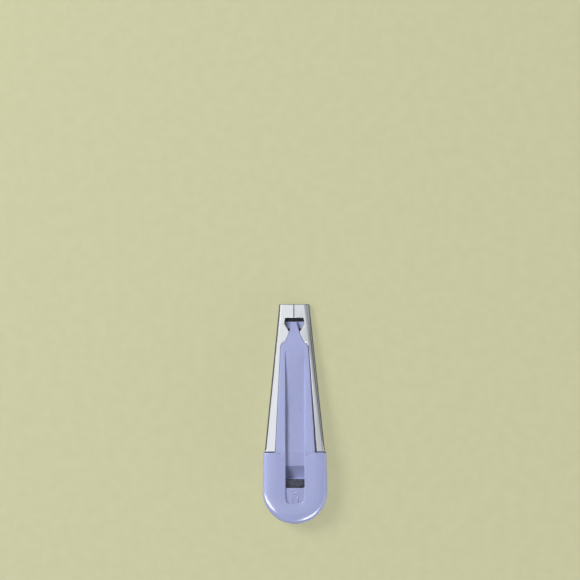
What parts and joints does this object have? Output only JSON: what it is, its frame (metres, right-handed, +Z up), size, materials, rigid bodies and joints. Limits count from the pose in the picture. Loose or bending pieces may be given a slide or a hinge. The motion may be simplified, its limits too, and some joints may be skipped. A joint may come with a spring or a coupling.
{
  "type": "bias tape maker",
  "caption": "Hand tool that folds a bias strip into narrow tape: tapered sheet-metal folder with a moulded guide that lays fusible web on the folds.",
  "frame": {"origin": "middle of the object's footprint, on the flat underside of the folder", "axes": "+Z up, +Y along the tool towards the tip where the tape leaves, +X to the right seen from above with the tip ahead"},
  "size_m": [0.0222, 0.0756, 0.0077],
  "materials": {
    "nickel_sheet": "bright nickel plate on thin bent sheet, lightly rubbed",
    "lavender_plastic": "satin to glossy injection moulding"
  },
  "bodies": {
    "root": {"metal_folder": "nickel_sheet", "web_guide": "lavender_plastic"}
  },
  "joints": []
}
